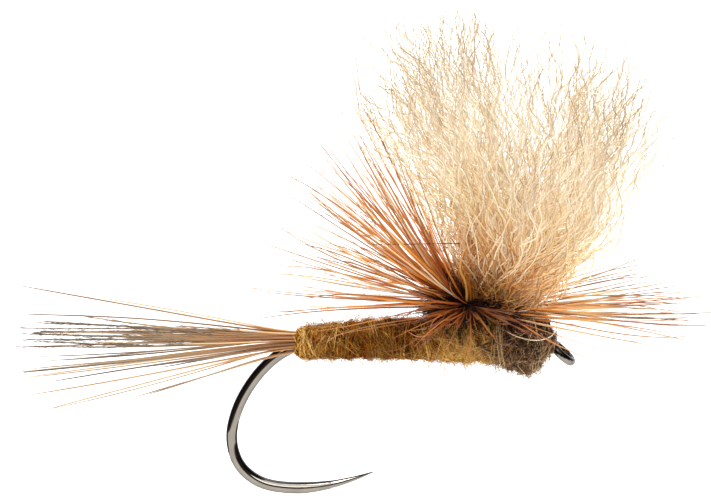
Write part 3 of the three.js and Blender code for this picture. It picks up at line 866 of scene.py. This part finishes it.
def build_root_curls():
    """The short curled hairs round the foot of the wing, some of them dark: partly dark hair, partly painted
    shade in the gaps between the hairs.
    """
    fan = rng.uniform(0.0, 0.95, ROOT_CURLS)
    tilt, length = rng.uniform(-34, 34, ROOT_CURLS), rng.uniform(0.9, 3.4, ROOT_CURLS)
    curls = wing_hairs(fan, tilt, length, 36, 0.06, CURL_STATIONS)
    curls = curls[curls[..., 2].min(axis=1) > COLLAR_LOW]
    count = len(curls)
    radii = tapered(count, CURL_STATIONS, CURL_RADII, 0.3)
    # painted shade: the dark curls stand in for the shade between the hairs, more of them to the rear
    painted_dark = rng.random(count) < np.where(curls[:, -1, 0] < POST_X + 0.6, 0.35, 0.22)
    tint = np.where(painted_dark, rng.uniform(0, 0.12, count), rng.uniform(0.25, 1.0, count))
    tubes("wing_root_curls", curls, radii, 3, ROOT_CURL, tint=tint)


# ---- single fibres ----
def catmull_line(points, stations):
    """A smooth evenly spaced line through given points, as one path."""
    line, _ = evenly_spaced(catmull_rom(points, 12), 0.02)
    place = np.linspace(0, 1, len(line))
    return np.stack([np.interp(np.linspace(0, 1, stations), place, line[:, i]) for i in range(3)], -1)[None]


def single_fibre(name, points, stations, profile, sides, material, tint=None):
    path = catmull_line(points, stations)
    tint = None if tint is None else np.array([tint])
    tubes(name, path, tapered(1, stations, profile), sides, material, tint=tint)


def build_single_fibres():
    """The few fibres that lie across the rest."""
    barb = [(-3.2, -0.5, 2.2), (-2.0, -1.4, 1.8), (-0.7, -2.6, 1.3), (1.3, -4.1, 0.75)]
    profile = [(0, 0.04), (0.6, 0.03), (1, 0.007)]
    single_fibre("hackle_barb_over_head", barb, 30, profile, 5, HACKLE_BARB, 0.35)

    hair = [(-4.4, -1.9, 5.3), (-5.0, -2.2, 5.38), (-6.6, -2.6, 5.45), (-8.15, -2.6, 5.45)]
    single_fibre("black_hair_behind_wing", hair, 40, [(0, 0.018), (1, 0.014)], 4, HACKLE_WEB)

    loop = [(-2.6, -1.2, 1.4), (-1.9, -1.4, 1.1), (-1.1, -1.45, 0.98), (-0.5, -1.3, 1.15),
            (-0.28, -1.0, 1.5), (-0.5, -0.7, 1.75)]
    profile = [(0, 0.02), (0.5, 0.024), (1, 0.01)]
    single_fibre("loose_hair_on_head", loop, 40, profile, 5, WING_HAIR, 0.5)
    build_wing_butts()


def build_wing_butts():
    """The curled ends of wing hair that stand beside the post."""
    butts = []
    for number in range(9):
        x = POST_X - 0.3 - 0.07 * number * rng.uniform(0.4, 1)
        y = -0.75 - 0.06 * number
        top = rng.uniform(4.0, 5.2)
        turn = np.linspace(0, rng.uniform(4, 8), 6)
        curl = np.stack([0.2 * np.sin(turn), 0.15 * np.cos(turn * 0.8), np.zeros(6)], -1)
        stem = np.linspace((x + 0.2, y, 2.6), (x - 0.1 + rng.normal(0, 0.12), y - 0.1, top), 6)
        butts.append(catmull_line([*(stem + curl * np.linspace(0, 1.1, 6)[:, None])], 30)[0])
    radii = tapered(len(butts), 30, [(0, 0.045), (0.6, 0.04), (1, 0.015)], 0.3)
    tint = rng.uniform(0.4, 0.9, len(butts))
    tubes("wing_butts", np.stack(butts), radii, 5, ROOT_CURL, tint=tint)


# ---- dubbed fur ----
END_RING = 0.56  # narrower rings of the CAD body belong to its rounded ends
REAR_CAP, FRONT_CAP = 0.75, 0.24  # the fur goes on past the last full rings by this much
REAR_ROUNDING, FRONT_ROUNDING = 0.45, 0.55  # its ends are rounded over this length
RIDGE_HEIGHT, RIDGE_RATE = 0.04, 7.5  # the turns of wound fur show as low ridges
HEAD_OVERHANG = 0.15


def body_outline():
    """Functions of x for the radius of the dubbed body and the height of its axis, from its three nodes."""
    places, radii, heights = [], [], []
    for node in ("abdomen_dubbing", "thorax_dubbing", "head_dubbing"):
        points = node_points(node)
        for x in np.unique(np.round(points[:, 0], 2)):
            ring = points[np.abs(points[:, 0] - x) < 0.02]
            widest = ring[np.abs(ring[:, 1]).argmax()]
            if abs(widest[1]) > END_RING:
                places.append(x)
                radii.append(abs(widest[1]))
                heights.append(widest[2])
    rear, front = places[0] - REAR_CAP, places[-1] + FRONT_CAP

    def radius_at(x):
        result = np.interp(x, places, radii)
        for gap, over in ((x - rear, REAR_ROUNDING), (front - x, FRONT_ROUNDING)):
            result = result * np.sqrt(1 - (1 - np.clip(gap / over, 0.05, 1)) ** 2)
        return result

    def height_at(x):
        return np.interp(x, places, heights)

    return radius_at, height_at, rear, front


radius_at, height_at, BODY_REAR, BODY_FRONT = body_outline()
# How much lighter or darker the fur is along the body, as (x, shift of the tint).
PATCHES = [(-11.2, 0.2), (-10.0, 0.1), (-9.3, -0.06), (-8.4, -0.12), (-7.7, 0.02), (-6.9, -0.14),
           (-5.6, -0.04), (-5.2, 0.16), (-4.6, 0.06), (-4.0, 0.2), (-3.3, 0.1), (-2.7, 0.0), (-2.4, -0.14),
           (-1.7, -0.1), (-1.1, 0.2)]


def overhang(x, angle):
    """The head leans forward: its top stands further over the eye than its underside."""
    return HEAD_OVERHANG * np.sin(angle) * smoothstep(-1.8, -0.7, x)


def wound_fibres(node, locks, per_lock, length, lean, lift, spread, stations=14, sink=0.05):
    """Locks of fibres wound on the body's outline, their ends lifting off it, and the tints that the fibres
    of a lock nearly share."""
    low, high = node_box(node)
    count = locks * per_lock

    def shared(values, own):
        return (np.repeat(values, per_lock) + rng.normal(0, own, count))[:, None]

    start_x = shared(rng.uniform(low[0] - 0.15, high[0] + 0.15, locks), spread)
    start_angle = shared(rng.uniform(0, 2 * math.pi, locks), spread * 1.2)
    reach = shared(rng.uniform(*length, locks), 0.2)
    slant = np.radians(shared(rng.normal(*lean, locks), 5))
    t = np.linspace(0, 1, stations)[None]
    s = (t - 0.5) * reach
    bow = rng.normal(0, 0.12, (count, 1)) * np.sin(math.pi * t)
    x = np.clip(start_x + s * np.sin(slant) + bow, BODY_REAR, BODY_FRONT)
    base = radius_at(x)
    angle = start_angle + s * np.cos(slant) / np.maximum(base, 0.3)
    rise = rng.exponential(lift, (count, 1)) * t**3 + rng.exponential(lift * 0.6, (count, 1)) * (1 - t) ** 3
    rise = rise + shared(rng.uniform(-sink, sink, locks), 0.02)
    r = base * (1 + RIDGE_HEIGHT * np.sin(x * RIDGE_RATE)) + rise
    paths = np.stack([x + overhang(x, angle), r * np.cos(angle), height_at(x) + r * np.sin(angle)], -1)
    patches = np.interp(start_x, *zip(*PATCHES)) + 0.12 * np.sin(start_x * 0.9 + start_angle + 2.0)
    tint = np.clip((shared(rng.beta(1.0, 1.0, locks), 0.12) + patches)[:, 0], 0, 1)
    return paths, tint


def core(name, node, material, grain):
    """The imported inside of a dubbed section: the outline with an uneven surface."""
    low, high = node_box(node)
    rear = BODY_REAR if low[0] < BODY_REAR + 1 else low[0]
    front = BODY_FRONT if high[0] > BODY_FRONT - 1 else high[0]
    stations, sides = 90, 64
    x = np.linspace(rear, front, stations)
    angle = np.arange(sides) * 2 * math.pi / sides
    seeds = rng.uniform(0, 6.3, 6)
    bumps = 0
    for seed, f in zip(seeds, (1, 2, 3, 5, 8, 11)):
        bumps = bumps + np.sin(x[:, None] * f * 3.1 + angle * f * 2 + seed) / f
    r = radius_at(x)[:, None] * (0.93 + grain * bumps)
    across = x[:, None] + overhang(x[:, None], angle)
    vertices = np.stack([across, r * np.cos(angle), height_at(x)[:, None] + r * np.sin(angle)], -1)
    tint = np.clip(0.08 + 0.1 * bumps, 0, 1).ravel()
    attributes = [("along", np.full(r.size, 0.1)), ("tint", tint), ("shade", np.zeros(r.size))]
    faces = tube_faces(1, stations, sides)
    new_piece(name, vertices.reshape(-1, 3), faces, material, [node], attributes)


FUR_STRAND = [(0, 0.008), (0.25, 0.019), (0.75, 0.019), (1, 0.006)]
FUR_FUZZ = [(0, 0.007), (1, 0.004)]


def fur(name, node, material, slot, profile, shade=None, **wound):
    paths, tint = wound_fibres(node, **wound)
    radii = tapered(len(paths), paths.shape[1], profile, 0.35)
    shades = None if shade is None else shade(paths[:, paths.shape[1] // 2])
    tubes(name, paths, radii, 3, material, tint=tint, shade=shades)


def build_abdomen():
    node, slot = "abdomen_dubbing", "abdomen_fur"
    core("abdomen_core", node, BODY_FUR, 0.012)
    fur("abdomen_fibres", node, BODY_FUR, slot, FUR_STRAND,
        locks=740, per_lock=5, length=(0.8, 2.4), lean=(12, 30), lift=0.06, spread=0.09, stations=9)
    fur("abdomen_fuzz", node, FUZZ, slot, FUR_FUZZ,
        locks=480, per_lock=3, length=(0.6, 1.8), lean=(10, 50), lift=0.34, spread=0.2)


def build_thorax():
    node, slot = "thorax_dubbing", "thorax_fur"
    core("thorax_core", node, THORAX_FUR, 0.014)

    # painted shade: the fibres on the thorax's top, under the hackle, are darkened
    def painted_shade_under_hackle(middle):
        shaded = (middle[:, 2] > SHANK_Z + 0.6) & (middle[:, 0] > -4.9) & (rng.random(len(middle)) < 0.6)
        return shaded.astype(float)

    fur("thorax_fibres", node, THORAX_FUR, slot, FUR_STRAND, painted_shade_under_hackle,
        locks=330, per_lock=5, length=(0.8, 2.2), lean=(8, 34), lift=0.08, spread=0.09)
    fur("thorax_fuzz", node, FUZZ, slot, FUR_FUZZ,
        locks=240, per_lock=3, length=(0.6, 1.8), lean=(10, 50), lift=0.34, spread=0.2)


def build_head():
    node, slot = "head_dubbing", "head_fur"
    core("head_core", node, HEAD_FUR, 0.02)

    def dark_patch(middle):
        inside = np.hypot((middle[:, 0] + 1.4) / 1.05, (middle[:, 2] - SHANK_Z - 0.75) / 0.62) < 1
        return (inside & (rng.random(len(middle)) < 0.94)).astype(float) * rng.uniform(0.75, 1.0, len(middle))

    fur("head_fibres", node, HEAD_FUR, slot, [(0, 0.008), (0.25, 0.017), (0.75, 0.017), (1, 0.005)],
        dark_patch, locks=260, per_lock=8, length=(0.7, 2.6), lean=(0, 60), lift=0.12, spread=0.08, sink=0.09)
    curls, tint = wound_fibres(node,
        locks=70, per_lock=3, length=(0.8, 2.2), lean=(0, 60), lift=0.2, spread=0.3)
    radii = tapered(len(curls), curls.shape[1], [(0, 0.012), (1, 0.008)])
    tubes("head_curls", crinkled(curls, 0.1), radii, 3, HEAD_FUR, tint=np.round(tint))
    fur("head_fuzz", node, HEAD_FUR, slot, FUR_FUZZ,
        dark_patch, locks=300, per_lock=3, length=(0.8, 2.4), lean=(0, 60), lift=0.3, spread=0.25)


# ---- stage ----
FLOOR_SIZE = 4.0  # in metres
FLOOR_Z = -0.03  # in metres, well below the fly
# Each lamp's name, the way its light goes, and its strength.
LAMPS = (("key", (0.45, 0.55, -1.0), 2.0), ("back", (-0.3, -0.7, -0.9), 2.2))
LAMP_SOFTNESS = math.radians(28)


def build_stage():
    bpy.ops.mesh.primitive_plane_add(size=FLOOR_SIZE, location=(0, 0, FLOOR_Z))
    floor = bpy.context.object
    floor.name = "floor"
    material, _, shader = new_material("floor_white", 0.9)
    shader.inputs["Base Color"].default_value = (0.93, 0.93, 0.93, 1)
    floor.data.materials.append(material)
    build_world()
    bpy.context.scene.view_settings.view_transform = "Standard"
    for name, towards, strength in LAMPS:
        light = bpy.data.lights.new(name, "SUN")
        light.angle = LAMP_SOFTNESS
        light.energy = strength
        lamp = bpy.data.objects.new(name, light)
        lamp.rotation_euler = Vector(towards).to_track_quat("-Z", "Y").to_euler()
        bpy.context.scene.collection.objects.link(lamp)


def build_world():
    """A room that is brighter overhead and at the back, and plain white where it is seen behind the fly."""
    world = bpy.data.worlds.new("studio")
    world.use_nodes = True
    background = world.node_tree.nodes["Background"]
    background.inputs["Strength"].default_value = 1.2
    tree = world.node_tree
    direction = tree.nodes.new("ShaderNodeTexCoord").outputs["Generated"]
    parts = tree.nodes.new("ShaderNodeSeparateXYZ")
    tree.links.new(direction, parts.inputs[0])
    overhead = ramp_node(tree, [(0.5, "a0a0a0"), (0.8, "ffffff")], parts.outputs["Z"])
    behind = ramp_node(tree, [(0.35, "000000"), (0.75, "ffffff")], parts.outputs["Y"])
    lit = mix_node(tree, overhead, behind, 1.0, "LIGHTEN")
    seen = tree.nodes.new("ShaderNodeLightPath").outputs["Is Camera Ray"]
    tree.links.new(mix_node(tree, lit, (1, 1, 1, 1), seen), background.inputs["Color"])
    bpy.context.scene.world = world


CAMERA_ELEVATION = math.radians(15)
CAMERA_TARGET = Vector((-8.74, 0, 4.55))
FIELD = 29.86  # how much the camera sees across, at its target
LENS, SENSOR = 200.0, 36.0


def build_camera():
    """Looks at the fly's right side from a little above, from far off."""
    back = Vector((0, -math.cos(CAMERA_ELEVATION), math.sin(CAMERA_ELEVATION)))
    camera = bpy.data.cameras.new("camera")
    camera.lens = LENS
    camera.sensor_width = SENSOR
    camera.clip_start = 0.001
    camera.clip_end = 20
    holder = bpy.data.objects.new("camera", camera)
    holder.location = (CAMERA_TARGET + back * FIELD / SENSOR * LENS) * MM
    holder.rotation_euler = (-back).to_track_quat("-Z", "Y").to_euler()
    bpy.context.scene.collection.objects.link(holder)
    bpy.context.scene.camera = holder


build_hook()
build_thread()
build_tail()
build_abdomen()
build_thorax()
build_head()
build_wing()
build_hackle()
build_single_fibres()
build_stage()
build_camera()
